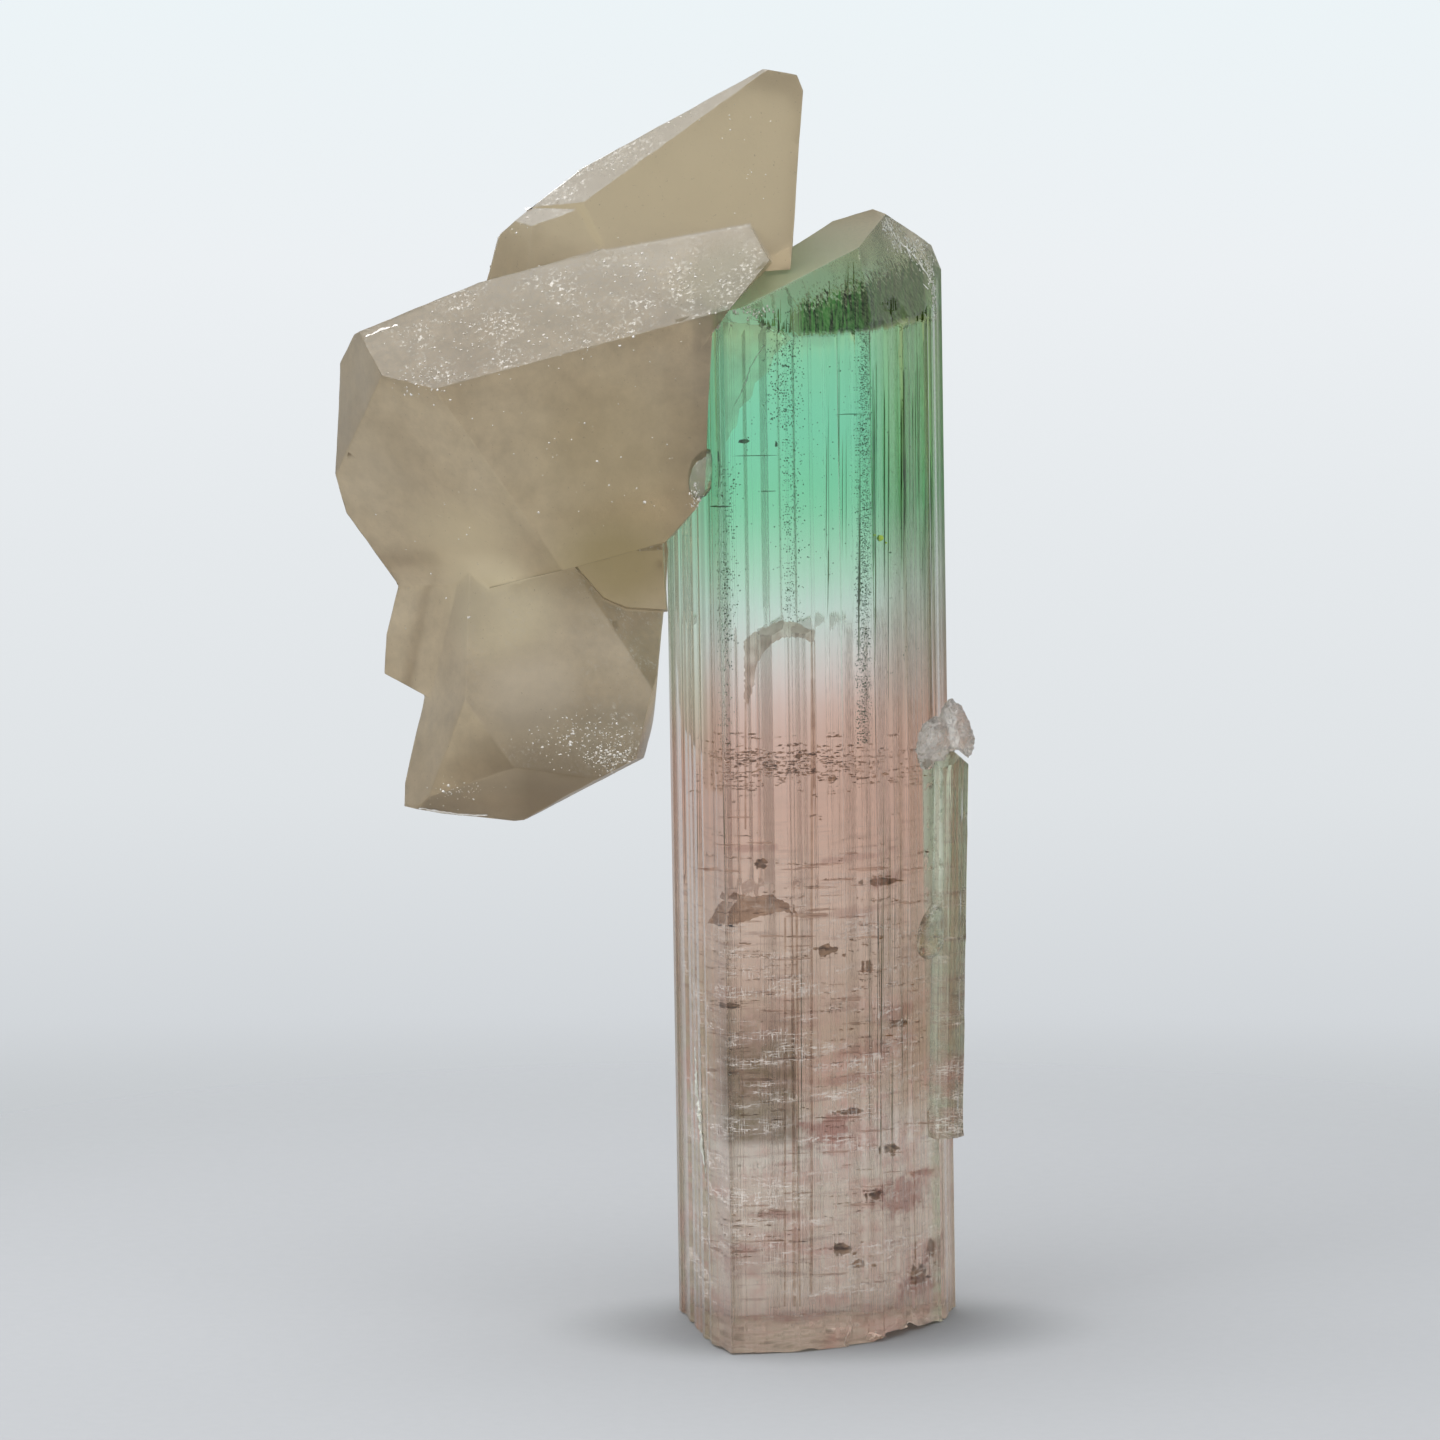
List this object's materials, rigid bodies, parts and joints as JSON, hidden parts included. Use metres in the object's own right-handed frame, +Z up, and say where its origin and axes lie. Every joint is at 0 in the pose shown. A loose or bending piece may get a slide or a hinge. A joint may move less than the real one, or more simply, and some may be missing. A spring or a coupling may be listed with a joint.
{
  "type": "mineral specimen",
  "caption": "Smoky quartz crystals clasping the head of an upright bicolour tourmaline prism, green above and pink below, standing on its broken foot.",
  "frame": {"origin": "middle of the tourmaline's flat foot", "axes": "+Z up along the tourmaline prism, +X right, +Y to the back, with the quartz on the -X side"},
  "size_m": [0.0509, 0.0266, 0.1021],
  "materials": {
    "tourmaline": "natural prism faces ribbed lengthwise, glassy",
    "smoky_quartz": "lightly frosted natural crystal faces",
    "pale_quartz": "frosted, knobbly"
  },
  "bodies": {
    "root": {"tourmaline": "tourmaline", "smoky_quartz": "smoky_quartz", "quartz_bead": "pale_quartz"}
  },
  "joints": []
}
